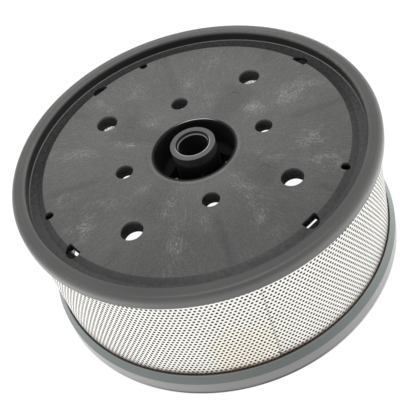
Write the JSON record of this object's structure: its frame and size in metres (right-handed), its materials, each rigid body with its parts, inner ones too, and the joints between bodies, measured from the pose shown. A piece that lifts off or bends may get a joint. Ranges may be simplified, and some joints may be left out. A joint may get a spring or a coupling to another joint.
{
  "type": "juicer strainer drum",
  "caption": "Strainer drum of a centrifugal juicer: a perforated metal band held between a moulded base with a hub and a moulded mouth ring.",
  "frame": {"origin": "centre of the mouth ring's lower face, on the drum's axis", "axes": "+Z along the drum's axis from the open mouth up to the closed base; +X and +Y through two of the four small holes"},
  "size_m": [0.165, 0.165, 0.068],
  "materials": {
    "base_plastic": "dark grey moulded plastic, satin, with pale rubbed smears",
    "screen_steel": "thin perforated stainless sheet, rolled and joined at one seam",
    "ring_plastic": "grey moulded plastic, satin"
  },
  "bodies": {
    "root": {"base_moulding": "base_plastic", "screen": "screen_steel", "mouth_ring": "ring_plastic"}
  },
  "joints": []
}
